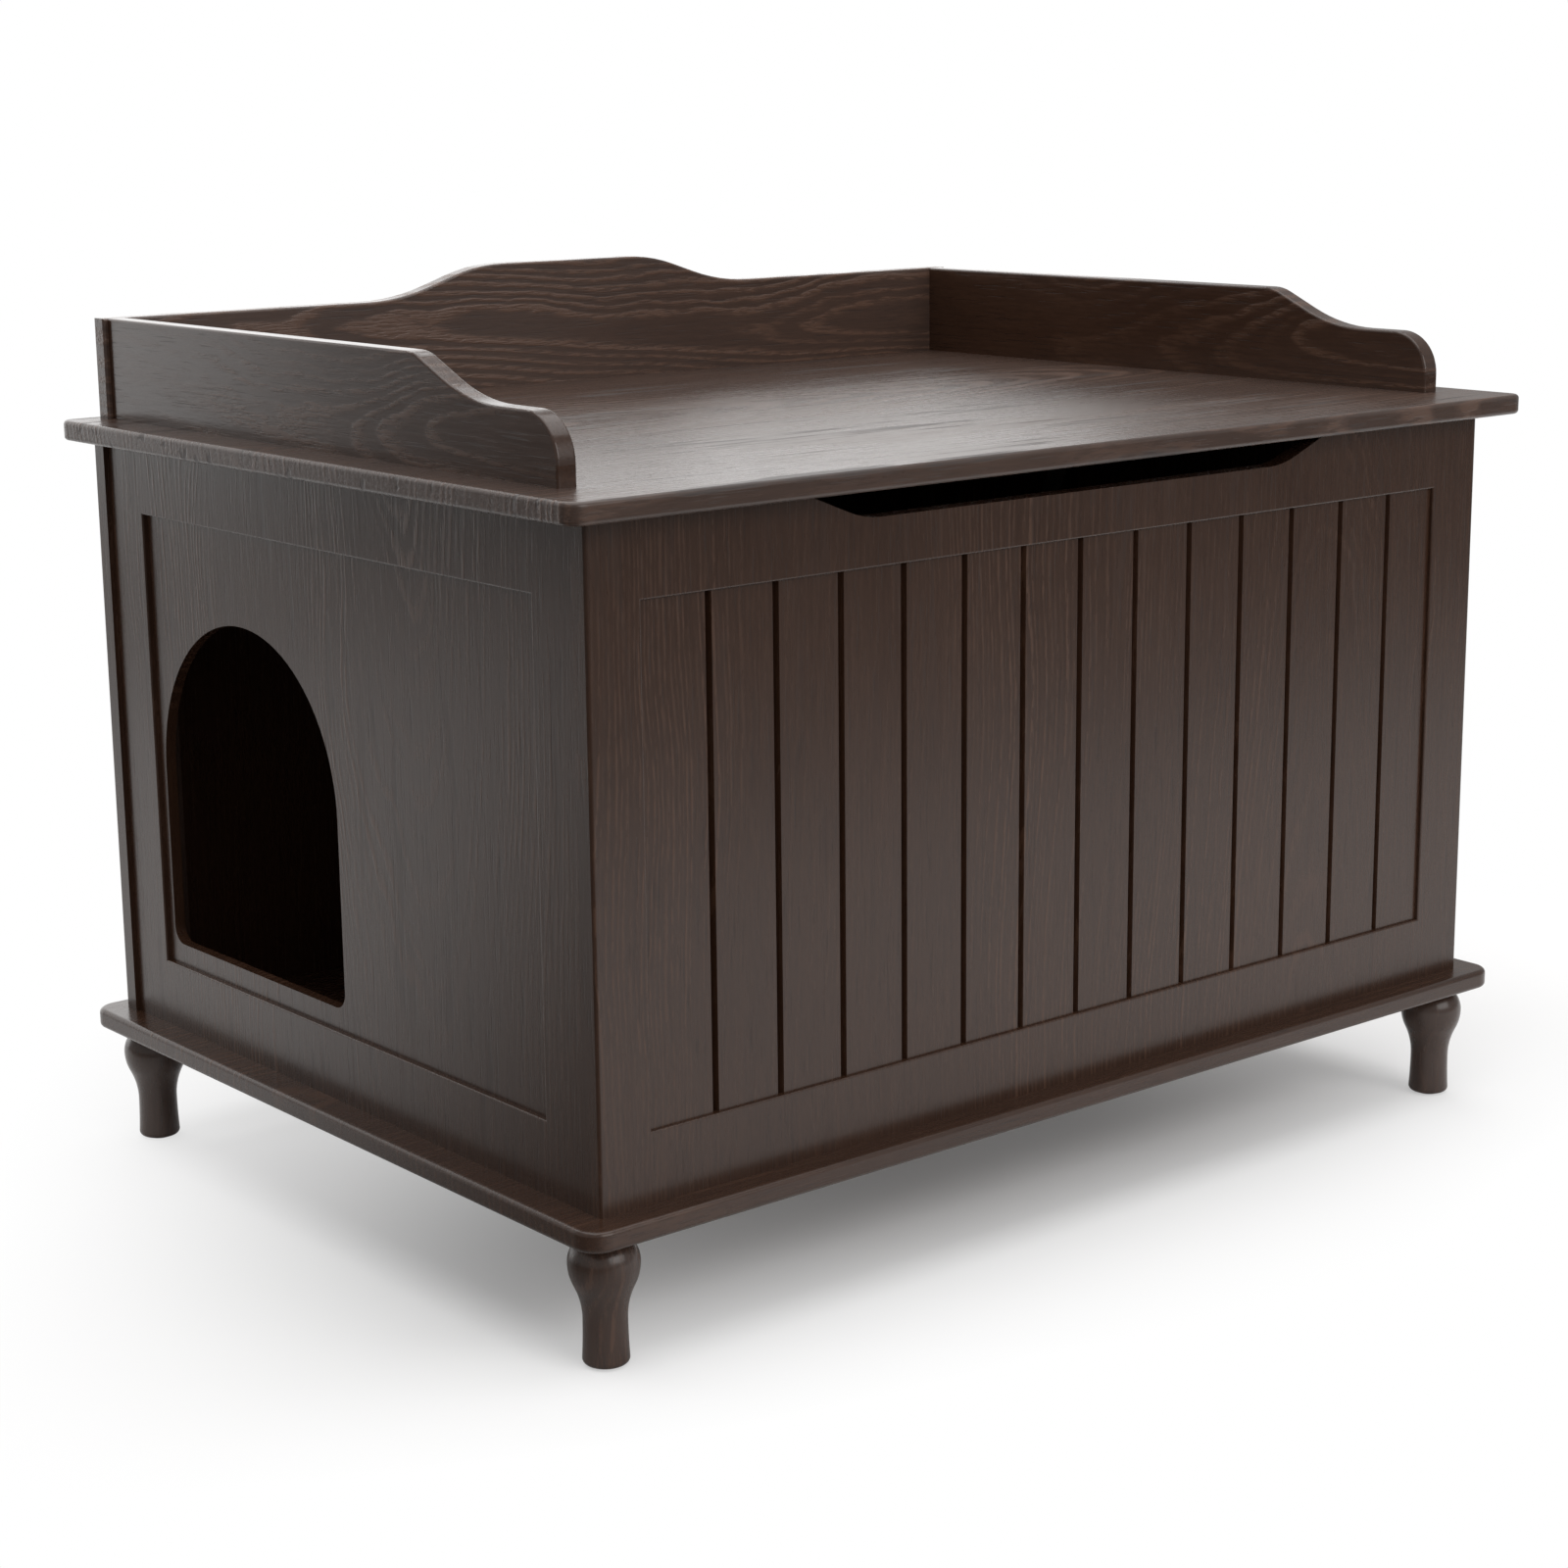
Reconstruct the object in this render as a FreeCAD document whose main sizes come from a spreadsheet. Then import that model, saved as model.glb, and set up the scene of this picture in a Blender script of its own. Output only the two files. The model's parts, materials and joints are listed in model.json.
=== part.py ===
"""Cat litter box cabinet: a bench-like box on four turned legs, with an arched cat door in the
left side, a beaded front, and a hinged lid that carries a three-sided scalloped gallery.

Millimetres. +X runs to the right as seen from the front, -Y is the front, +Z is up. The origin is
on the floor, under the middle of the overall length and depth.
"""
import FreeCAD, Part
import math
import os
import Sketcher
from types import SimpleNamespace

V = FreeCAD.Vector

# ---------------------------------------------------------------- driving dimensions

SIZES = {
    # the box
    "case_width": 690, "case_depth": 500, "panel_height": 358,
    "board": 12, "side_board": 10, "back_proud": 3, "corner_round": 2,
    # the raised frame round the recessed fields
    "front_top": 41.4, "front_foot": 39.5, "front_left_stile": 33.5, "front_right_stile": 40,
    "side_top": 40, "side_foot": 41, "side_front_stile": 35, "side_rear_stile": 39,
    "front_recess": 2.4, "side_recess": 3.2, "field_round": 1,
    # the beads of the front panel's field
    "bead_count": 13, "bead_pitch": 44.3, "bead_width": 4.2, "bead_floor": 2, "bead_cut": 4,
    # the hand scoop in the front panel's top edge
    "scoop_flat": 304, "scoop_drop": 15, "scoop_slope": 22, "scoop_lip": 25, "scoop_sweep": 60,
    # the cat door
    "door_width": 196, "door_spring": 110.7, "door_sill": 54, "door_rear": 57.7, "door_corner": 10,
    # the base board
    "base_side": 19, "base_front": 17, "base_corner": 14, "base_round": 3,
    # the lid
    "lid_side": 22, "lid_front": 20, "lid_back": 7.5, "lid_corner": 10, "lid_round": 2.5, "lid_gap": 2,
    # the gallery
    "gallery_inset": 5, "gallery_height": 60, "gallery_round": 1.5,
    "crest_height": 80, "crest_flat": 104, "crest_slope": 18.3, "crest_brow": 120, "crest_sweep": 155,
    "wing_length": 460, "wing_high": 326, "wing_low": 37.2, "wing_slope": 24,
    "wing_brow": 30, "wing_sweep": 120, "wing_nose": 26,
    # the legs
    "leg_height": 72, "leg_inset": 28, "foot_radius": 12.6, "foot_round": 3,
    "neck_radius": 11.9, "neck_level": 25, "bulb_radius": 19.2, "bulb_level": 56, "bulb_curve": 28,
    "shoulder_curve": 16, "shoulder_radius": 12.5,
    "bolt_radius": 4, "bolt_in_leg": 30, "insert_radius": 6, "insert_length": 10,
    "glide_radius": 8, "glide_proud": 1, "spike_radius": 1.2, "spike_length": 8,
    # the corner cleats
    "cleat": 18, "cleat_height": 340,
    # the screws
    "screw_radius": 1.75, "screw_head": 4, "long_screw": 32, "rail_screw": 34, "cleat_screw": 26,
    "small_radius": 1.4, "small_head": 2.7, "hinge_screw": 9, "stay_screw": 6.5, "play": 0.05,
    # the hinges
    "hinge_place": 230, "hinge_length": 60, "knuckles": 5, "knuckle_radius": 2.9, "knuckle_gap": 0.3,
    "leaf": 1.6, "leaf_reach": 3.2, "leaf_width": 28, "leaf_screws": 40,
    "pin_radius": 1.5, "pin_head": 2.3, "pin_head_length": 0.8, "notch": 3.3,
    # the lid stay
    "lid_open": 100, "stay_reach": 170, "stay_rest": 35, "stay_dip": 3.5,
    "arm": 2, "arm_half": 8, "arm_place": 329.6, "arm_clear": 0.4,
    "stud_radius": 3, "slot_play": 0.3, "stud_head": 5.5, "stud_head_length": 1.8, "shoulder": 4.5,
    "rivet_radius": 2.5, "bracket_width": 22, "bracket_length": 34,
    # the lid bumpers
    "bumper_radius": 4, "bumper_height": 1.7,
}


class Dim:
    """A size worked out from the sheet: its number now, and the expression that keeps it bound."""

    def __init__(self, number, text):
        self.number, self.text = float(number), text

    def __float__(self):
        return self.number

    def __add__(self, other):
        other = as_dim(other)
        return Dim(self.number + other.number, "(%s + %s)" % (self.text, other.text))

    def __sub__(self, other):
        other = as_dim(other)
        return Dim(self.number - other.number, "(%s - %s)" % (self.text, other.text))

    def __mul__(self, other):
        other = as_dim(other)
        return Dim(self.number * other.number, "(%s * %s)" % (self.text, other.text))

    def __truediv__(self, other):
        other = as_dim(other)
        return Dim(self.number / other.number, "(%s / %s)" % (self.text, other.text))

    def __radd__(self, other):
        return as_dim(other) + self

    def __rsub__(self, other):
        return as_dim(other) - self

    def __rmul__(self, other):
        return as_dim(other) * self

    def __neg__(self):
        return Dim(-self.number, "(0 - %s)" % self.text)


def as_dim(value):
    return value if isinstance(value, Dim) else Dim(value, "(%r)" % value)


def sine(angle):
    return Dim(math.sin(math.radians(angle.number)), "sin(%s * 1 deg)" % angle.text)


def cosine(angle):
    return Dim(math.cos(math.radians(angle.number)), "cos(%s * 1 deg)" % angle.text)


def tangent(angle):
    return Dim(math.tan(math.radians(angle.number)), "tan(%s * 1 deg)" % angle.text)


def root(value):
    return Dim(math.sqrt(value.number), "sqrt(%s)" % value.text)


doc = FreeCAD.newDocument("LitterCabinet")
sheet = doc.addObject("Spreadsheet::Sheet", "Sizes")
for row, (alias, number) in enumerate(SIZES.items(), start=1):
    sheet.set("A%d" % row, str(number))
    sheet.setAlias("A%d" % row, alias)
doc.recompute()
S = SimpleNamespace(**{alias: Dim(sheet.get(alias), "Sizes." + alias) for alias in SIZES})

# levels and faces that several pieces share
overall_depth = S.lid_front + S.case_depth + S.base_front
case_front = S.lid_front - overall_depth / 2
case_back = case_front + S.case_depth
case_middle = case_front + S.case_depth / 2
base_level = S.glide_proud + S.leg_height
case_level = base_level + S.board
case_top = case_level + S.panel_height
lid_level = case_top + S.lid_gap
lid_top = lid_level + S.board
side_face = S.case_width / 2
side_inner = side_face - S.side_board
hinge_y = case_back + S.leaf_reach
hinge_z = lid_level - S.leaf_reach
nodes = []

# ---------------------------------------------------------------- making and placing


def new_body(label):
    body = doc.addObject("PartDesign::Body", label)
    body.Label = label
    nodes.append(body)
    return body


def place(piece, x=0, y=0, z=0, axis=None, angle=0):
    """Stand a piece in the cabinet's frame, with its position bound to the sheet."""
    turn = FreeCAD.Rotation(axis or V(0, 0, 1), float(angle))
    piece.Placement = FreeCAD.Placement(V(float(x), float(y), float(z)), turn)
    for letter, value in zip("xyz", (x, y, z)):
        piece.setExpression("Placement.Base." + letter, as_dim(value).text)
    return piece


def new_sketch(body, role, name, lift=0):
    """A sketch on one of the body's own origin planes, lifted along the plane's normal."""
    plane = [item for item in body.Origin.OriginFeatures if item.Role == role][0]
    sketch = body.newObject("Sketcher::SketchObject", name)
    sketch.AttachmentSupport = [(plane, "")]
    sketch.MapMode = "FlatFace"
    sketch.setExpression("AttachmentOffset.Base.z", as_dim(lift).text)
    return sketch


def bind(sketch, kind, where, value):
    """Add one dimension to a sketch and tie it to the sheet."""
    value = as_dim(value)
    index = sketch.addConstraint(Sketcher.Constraint(kind, *where, value.number))
    sketch.setExpression("Constraints[%d]" % index, value.text)


def pin(sketch, curve, point, x, y):
    """Fix a point of a sketch at x, y from the sketch's origin."""
    for value, kind, axis in ((x, "DistanceX", -2), (y, "DistanceY", -1)):
        if abs(float(value)) < 1e-9:
            sketch.addConstraint(Sketcher.Constraint("PointOnObject", curve, point, axis))
        else:
            bind(sketch, kind, (-1, 1, curve, point), value)


def circle(sketch, x, y, radius):
    curve = sketch.addGeometry(Part.Circle(V(float(x), float(y), 0), V(0, 0, 1), float(radius)), False)
    pin(sketch, curve, 3, x, y)
    bind(sketch, "Radius", (curve,), radius)


class Outline:
    """A closed outline of lines and arcs, run from point to point."""

    def __init__(self, sketch, x, y):
        self.sketch = sketch
        self.here = (as_dim(x), as_dim(y))
        self.begin = self.here
        self.first = self.last = None

    def _join(self, curve, start, end, x, y):
        if self.last:
            self.sketch.addConstraint(Sketcher.Constraint("Coincident", *self.last, curve, start))
        else:
            self.first = (curve, start)
        pin(self.sketch, curve, end, x, y)
        self.last = (curve, end)
        self.here = (x, y)
        return self

    def line(self, x, y):
        x, y = as_dim(x), as_dim(y)
        ends = [V(float(a), float(b), 0) for a, b in (self.here, (x, y))]
        return self._join(self.sketch.addGeometry(Part.LineSegment(*ends), False), 1, 2, x, y)

    def arc(self, x, y, radius, turn, major=False):
        """Arc to x, y: turn is 1 anticlockwise or -1 clockwise; major takes the long way round."""
        x, y = as_dim(x), as_dim(y)
        (x0, y0), (x1, y1), r = map(float, self.here), (float(x), float(y)), float(radius)
        half = math.hypot(x1 - x0, y1 - y0) / 2
        if abs(half - r) < 1e-6:
            across, up = x - self.here[0], y - self.here[1]
            crown_x = self.here[0] + (across + turn * up) / 2
            crown_y = self.here[1] + (up - turn * across) / 2
            return self.arc(crown_x, crown_y, radius, turn).arc(x, y, radius, turn)
        off = math.sqrt(max(r * r - half * half, 0)) * turn * (-1 if major else 1)
        cx = (x0 + x1) / 2 - (y1 - y0) / (2 * half) * off
        cy = (y0 + y1) / 2 + (x1 - x0) / (2 * half) * off
        angles = [math.atan2(b - cy, a - cx) for a, b in ((x0, y0), (x1, y1))]
        ring = Part.Circle(V(cx, cy, 0), V(0, 0, 1), r)
        curve = self.sketch.addGeometry(Part.ArcOfCircle(ring, *angles[::turn]), False)
        bind(self.sketch, "Radius", (curve,), radius)
        return self._join(curve, *((1, 2) if turn > 0 else (2, 1)), x, y)

    def ogee(self, way, rise, first_radius, last_radius, slope):
        """A level start, an arc, a straight slope, the counter arc and a level end."""
        up = 1 if float(rise) > 0 else -1
        height = rise * up
        step = height - (first_radius + last_radius) * (1 - cosine(slope))
        x, y = self.here
        x, y = x + way * first_radius * sine(slope), y + up * first_radius * (1 - cosine(slope))
        self.arc(x, y, first_radius, way * up)
        x, y = x + way * step / tangent(slope), y + up * step
        self.line(x, y)
        x, y = x + way * last_radius * sine(slope), y + up * last_radius * (1 - cosine(slope))
        return self.arc(x, y, last_radius, -way * up)

    def close(self):
        gaps = [abs(float(a) - float(b)) for a, b in zip(self.here, self.begin)]
        if max(gaps) > 1e-6:
            self.line(*self.begin)
        self.sketch.addConstraint(Sketcher.Constraint("Coincident", *self.last, *self.first))


def ogee_run(height, first_radius, last_radius, slope):
    """The level length that an ogee takes up."""
    step = height - (first_radius + last_radius) * (1 - cosine(slope))
    return (first_radius + last_radius) * sine(slope) + step / tangent(slope)


def rectangle(sketch, x0, y0, x1, y1):
    Outline(sketch, x0, y0).line(x1, y0).line(x1, y1).line(x0, y1).close()


def rounded_rectangle(sketch, x0, y0, x1, y1, radius):
    outline = Outline(sketch, x0 + radius, y0).line(x1 - radius, y0).arc(x1, y0 + radius, radius, 1)
    outline.line(x1, y1 - radius).arc(x1 - radius, y1, radius, 1)
    outline.line(x0 + radius, y1).arc(x0, y1 - radius, radius, 1)
    outline.line(x0, y0 + radius).arc(x0 + radius, y0, radius, 1).close()


def pad(body, sketch, length, reverse=False):
    feature = body.newObject("PartDesign::Pad", sketch.Name + "_pad")
    feature.Profile = (sketch, [""])
    feature.Reversed = reverse
    feature.setExpression("Length", as_dim(length).text)
    return feature


def pocket(body, sketch, depth=None, reverse=False, both=False):
    """Cut a sketch's outlines to a depth, or right through when no depth is given."""
    feature = body.newObject("PartDesign::Pocket", sketch.Name + "_cut")
    feature.Profile = (sketch, [""])
    feature.Reversed = reverse
    if depth is None:
        feature.Type = "ThroughAll"
        feature.Midplane = both
    else:
        feature.setExpression("Length", as_dim(depth).text)
    return feature


def drill(body, role, name, lift, spots, radius, depth=None, reverse=False):
    sketch = new_sketch(body, role, name, lift)
    for x, y in spots:
        circle(sketch, x, y, radius)
    return pocket(body, sketch, depth, reverse)


def countersink(body, role, name, lift, spots, radius, head, reverse=False):
    """Through holes with a 90 degree seat for flat screw heads."""
    sketch = new_sketch(body, role, name, lift)
    for x, y in spots:
        circle(sketch, x, y, radius)
    doc.recompute()
    hole = body.newObject("PartDesign::Hole", name + "_hole")
    hole.Profile = (sketch, [""])
    doc.recompute()
    hole.Reversed = reverse
    hole.DepthType = "ThroughAll"
    hole.setExpression("Diameter", (2 * radius).text)
    hole.HoleCutType = "Countersink"
    hole.HoleCutCountersinkAngle = 90
    hole.setExpression("HoleCutDiameter", (2 * head).text)
    return hole


def edge_names(feature, chosen):
    """Names of a feature's edges whose middle point and box pass a test."""
    doc.recompute()
    names = []
    for number, edge in enumerate(feature.Shape.Edges, start=1):
        middle = edge.valueAt((edge.FirstParameter + edge.LastParameter) / 2)
        if chosen(middle, edge.BoundBox):
            names.append("Edge%d" % number)
    return names


def soften(body, feature, radius, chosen):
    fillet = body.newObject("PartDesign::Fillet", feature.Name + "_soft")
    fillet.Base = (feature, edge_names(feature, chosen))
    fillet.setExpression("Radius", as_dim(radius).text)
    return fillet


def near(value, target):
    return abs(value - float(target)) < 0.01


def upright(box):
    return box.ZLength > 1 and box.XLength < 0.01 and box.YLength < 0.01


# ---------------------------------------------------------------- where the screws go

PILOT = S.screw_radius + S.play
SMALL_PILOT = S.small_radius + S.play
front_line = case_front + S.board / 2
back_line = case_back - S.board / 2
side_line = side_face - S.side_board / 2
wing_line = side_face - S.gallery_inset - S.board / 2

BASE_SCREWS = [(x, y) for y in (front_line, back_line) for x in (-200, 0, 200)]
BASE_SCREWS += [(sign * side_line, case_middle + y) for sign in (-1, 1) for y in (-120, 120)]
BACK_RAIL_SCREWS = [(x, back_line) for x in (-310, -105, 105, 310)]
WING_SCREWS = [(sign * wing_line, y) for sign in (-1, 1) for y in (-170, -20, 130)]
CLEAT_LEVELS_Y = (60, 280)      # screws that run into the front and back panels
CLEAT_LEVELS_X = (110, 230)     # screws that run into the side panels
CLEAT_CENTRE = S.cleat / 2
LEG_SPOTS = {
    "front_left": (-1, -1), "front_right": (1, -1), "rear_left": (-1, 1), "rear_right": (1, 1)}
LEAF_SCREW_SPOTS = [-S.leaf_screws / 2, as_dim(0), S.leaf_screws / 2]
LEAF_SCREW_ROW = S.leaf_width - 7


def leg_centre(side, end):
    """Axis of a leg: inset alike from the base board's edges."""
    y = case_front - S.base_front + S.leg_inset if end < 0 else case_back + S.base_front - S.leg_inset
    return side * (side_face + S.base_side - S.leg_inset), y


# ---------------------------------------------------------------- the box


def base_board():
    body = new_body("base_board")
    outline = new_sketch(body, "XY_Plane", "base_outline")
    half = side_face + S.base_side
    rounded_rectangle(outline, -half, case_front - S.base_front, half, case_back + S.base_front,
                      S.base_corner)
    board = pad(body, outline, S.board)
    soften(body, board, S.base_round, lambda middle, box: box.ZLength < 0.01)
    spots = [leg_centre(*place_of) for place_of in LEG_SPOTS.values()]
    drill(body, "XY_Plane", "insert_bores", 0, spots, S.insert_radius, S.insert_length, reverse=True)
    countersink(body, "XY_Plane", "base_screw_holes", 0, BASE_SCREWS, PILOT, S.screw_head, reverse=True)
    return place(body, 0, 0, base_level)


def front_panel():
    """Beaded field inside a raised frame, with the scoop for the hand in the top edge."""
    body = new_body("front_panel")
    half, tall = side_face, S.panel_height
    outline = new_sketch(body, "XZ_Plane", "front_outline")
    lip, sweep, slope = S.scoop_lip, S.scoop_sweep, S.scoop_slope
    scoop = S.scoop_flat / 2 + ogee_run(S.scoop_drop, lip, sweep, slope)
    run = Outline(outline, -half, 0).line(half, 0).line(half, tall).line(scoop, tall)
    run.ogee(-1, -S.scoop_drop, lip, sweep, slope).line(-S.scoop_flat / 2, tall - S.scoop_drop)
    run.ogee(-1, S.scoop_drop, sweep, lip, slope).line(-half, tall).close()
    board = pad(body, outline, S.board)
    soften(body, board, S.corner_round,
           lambda middle, box: upright(box) and near(middle.y, -S.board) and abs(middle.x) > 340)
    field = new_sketch(body, "XZ_Plane", "front_field", S.board)
    left, right = S.front_left_stile - half, half - S.front_right_stile
    foot, top = S.front_foot, tall - S.front_top
    rectangle(field, left, foot, right, top)
    recess = pocket(body, field, S.front_recess)
    soften(body, recess, S.field_round,
           lambda middle, box: near(middle.y, -S.board) and abs(middle.x) < 320
           and 1 < middle.z < float(top) + 1)
    bead = new_sketch(body, "XY_Plane", "front_bead", foot)
    floor = S.front_recess - S.board
    first, mouth, bed = left + S.bead_pitch, S.bead_width / 2, S.bead_floor / 2
    run = Outline(bead, first - mouth, floor).line(first + mouth, floor)
    run.line(first + bed, floor + S.bead_cut).line(first - bed, floor + S.bead_cut).close()
    cut = pocket(body, bead, top - foot, reverse=True)
    beads = body.newObject("PartDesign::LinearPattern", "front_beads")
    beads.Originals = [cut]
    beads.Direction = (bead, ["H_Axis"])
    beads.setExpression("Length", (S.bead_pitch * (S.bead_count - 1)).text)
    beads.setExpression("Occurrences", S.bead_count.text)
    body.Tip = beads
    cleats = [(sign * (side_inner - CLEAT_CENTRE), z) for sign in (-1, 1) for z in CLEAT_LEVELS_Y]
    drill(body, "XZ_Plane", "front_cleat_holes", 0, cleats, PILOT, S.cleat_screw - S.cleat, reverse=True)
    foot = [(x, -S.board / 2) for x, y in BASE_SCREWS if near(float(y), front_line)]
    drill(body, "XY_Plane", "front_foot_holes", 0, foot, PILOT, S.long_screw - S.board, reverse=True)
    return place(body, 0, case_front + S.board, case_level)


def back_panel():
    """Plain board whose ends stand a little proud of the side panels."""
    body = new_body("back_panel")
    half = side_face + S.back_proud
    outline = new_sketch(body, "XZ_Plane", "back_outline")
    rectangle(outline, -half, 0, half, S.panel_height)
    board = pad(body, outline, S.board)
    soften(body, board, S.corner_round, lambda middle, box: upright(box) and near(middle.y, 0))
    cleats = [(sign * (side_inner - CLEAT_CENTRE), z) for sign in (-1, 1) for z in CLEAT_LEVELS_Y]
    drill(body, "XZ_Plane", "back_cleat_holes", S.board, cleats, PILOT, S.cleat_screw - S.cleat)
    level = hinge_z - LEAF_SCREW_ROW - case_level
    hinge = [(sign * S.hinge_place + x, level) for sign in (-1, 1) for x in LEAF_SCREW_SPOTS]
    drill(body, "XZ_Plane", "back_hinge_holes", 0, hinge, SMALL_PILOT, S.hinge_screw, reverse=True)
    foot = [(x, -S.board / 2) for x, y in BASE_SCREWS if near(float(y), back_line)]
    drill(body, "XY_Plane", "back_foot_holes", 0, foot, PILOT, S.long_screw - S.board, reverse=True)
    return place(body, 0, case_back, case_level)


def side_panel(label, first_stile, last_stile, doorway=False):
    """Board with a recessed field in its outer face, which is the plane x = 0 of the body."""
    body = new_body(label)
    length, tall = S.case_depth - 2 * S.board, S.panel_height
    outline = new_sketch(body, "YZ_Plane", label + "_outline")
    rectangle(outline, 0, 0, length, tall)
    pad(body, outline, S.side_board)
    field = new_sketch(body, "YZ_Plane", label + "_field")
    rectangle(field, first_stile, S.side_foot, length - last_stile, tall - S.side_top)
    recess = pocket(body, field, S.side_recess, reverse=True)
    soften(body, recess, S.field_round,
           lambda middle, box: near(middle.x, 0) and 1 < middle.y < float(length) - 1
           and 1 < middle.z < float(tall) - 1)
    if doorway:
        door = new_sketch(body, "YZ_Plane", label + "_door")
        right = S.case_depth - S.board - S.door_rear
        left, sill, corner = right - S.door_width, S.door_sill, S.door_corner
        run = Outline(door, left + corner, sill).line(right - corner, sill)
        run.arc(right, sill + corner, corner, 1).line(right, sill + S.door_spring)
        run.arc(left, sill + S.door_spring, S.door_width / 2, 1).line(left, sill + corner)
        run.arc(left + corner, sill, corner, 1).close()
        pocket(body, door, reverse=True)
    cleats = [(y, z) for y in (CLEAT_CENTRE, length - CLEAT_CENTRE) for z in CLEAT_LEVELS_X]
    drill(body, "YZ_Plane", label + "_cleat_holes", S.side_board, cleats, PILOT, S.cleat_screw - S.cleat)
    foot = [(S.side_board / 2, y) for y in (length / 2 - 120, length / 2 + 120)]
    drill(body, "XY_Plane", label + "_foot_holes", 0, foot, PILOT, S.long_screw - S.board, reverse=True)
    return body


def left_side_panel():
    body = side_panel("left_side_panel", S.side_front_stile, S.side_rear_stile, doorway=True)
    return place(body, -side_face, case_front + S.board, case_level)


def right_side_panel():
    body = side_panel("right_side_panel", S.side_rear_stile, S.side_front_stile)
    spots = [(case_back - S.board - y, z - case_level) for y, z in stay_plate_screws()]
    drill(body, "YZ_Plane", "right_stay_holes", S.side_board, spots, SMALL_PILOT,
          S.stay_screw - S.leaf)
    return place(body, side_face, case_back - S.board, case_level, V(0, 0, 1), 180)


def cleats():
    """Square battens that tie the panels together in the four inner corners."""
    for corner, (side, end) in LEG_SPOTS.items():
        body = new_body(corner + "_cleat")
        section = new_sketch(body, "XY_Plane", corner + "_section")
        rectangle(section, 0, 0, S.cleat, S.cleat)
        pad(body, section, S.cleat_height)
        across = [(CLEAT_CENTRE, z) for z in CLEAT_LEVELS_Y]
        drill(body, "XZ_Plane", corner + "_holes_y", 0, across, PILOT)
        along = [(CLEAT_CENTRE, z) for z in CLEAT_LEVELS_X]
        drill(body, "YZ_Plane", corner + "_holes_x", 0, along, PILOT, reverse=True)
        x = side_inner - S.cleat if side > 0 else -side_inner
        y = case_front + S.board if end < 0 else case_back - S.board - S.cleat
        place(body, x, y, case_level)


# ---------------------------------------------------------------- the legs


def legs():
    """Turned legs: a slim shaft that swells into a bulb below the base board."""
    bulb_rise = S.bulb_level - S.neck_level
    swell = S.bulb_radius - S.neck_radius
    both = (swell * swell + bulb_rise * bulb_rise) / (2 * swell)
    neck_curve = both - S.bulb_curve
    meet_r = S.neck_radius + neck_curve - neck_curve / both * (both - swell)
    meet_z = S.neck_level + neck_curve / both * bulb_rise
    shoulder_in = S.shoulder_curve - (S.bulb_radius - S.shoulder_radius)
    shoulder_z = S.bulb_level + root(S.shoulder_curve * S.shoulder_curve - shoulder_in * shoulder_in)
    shaft_rise = S.neck_level - S.foot_round
    taper = S.foot_radius - S.neck_radius
    shaft_curve = (taper * taper + shaft_rise * shaft_rise) / (2 * taper)
    for corner, spot in LEG_SPOTS.items():
        body = new_body(corner + "_leg")
        half = new_sketch(body, "XZ_Plane", corner + "_turning")
        spike = S.spike_radius + S.play
        run = Outline(half, spike, 0).line(S.foot_radius - S.foot_round, 0)
        run.arc(S.foot_radius, S.foot_round, S.foot_round, 1)
        run.arc(S.neck_radius, S.neck_level, shaft_curve, -1).arc(meet_r, meet_z, neck_curve, -1)
        run.arc(S.bulb_radius, S.bulb_level, S.bulb_curve, 1)
        run.arc(S.shoulder_radius, shoulder_z, S.shoulder_curve, 1).line(S.shoulder_radius, S.leg_height)
        bore = S.bolt_radius + S.play
        run.line(bore, S.leg_height).line(bore, S.leg_height - S.bolt_in_leg)
        run.line(0, S.leg_height - S.bolt_in_leg).line(0, S.spike_length)
        run.line(spike, S.spike_length).close()
        turned = body.newObject("PartDesign::Revolution", corner + "_leg_turned")
        turned.Profile = (half, [""])
        turned.ReferenceAxis = (half, ["V_Axis"])
        turned.Angle = 360
        place(body, *leg_centre(*spot), S.glide_proud)


# ---------------------------------------------------------------- the lid and its gallery


def lid_board():
    body = new_body("lid_board")
    outline = new_sketch(body, "XY_Plane", "lid_outline")
    half = side_face + S.lid_side
    rounded_rectangle(outline, -half, case_front - S.lid_front, half, case_back + S.lid_back, S.lid_corner)
    board = pad(body, outline, S.board)
    soften(body, board, S.lid_round, lambda middle, box: box.ZLength < 0.01)
    countersink(body, "XY_Plane", "lid_rail_holes", 0, BACK_RAIL_SCREWS + WING_SCREWS, PILOT,
                S.screw_head, reverse=True)
    hinge = [(sign * S.hinge_place + x, hinge_y - LEAF_SCREW_ROW)
             for sign in (-1, 1) for x in LEAF_SCREW_SPOTS]
    bracket = [(x, y) for x, y in bracket_screws()]
    drill(body, "XY_Plane", "lid_metal_holes", 0, hinge + bracket, SMALL_PILOT, S.hinge_screw, reverse=True)
    return place(body, 0, 0, lid_level)


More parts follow.
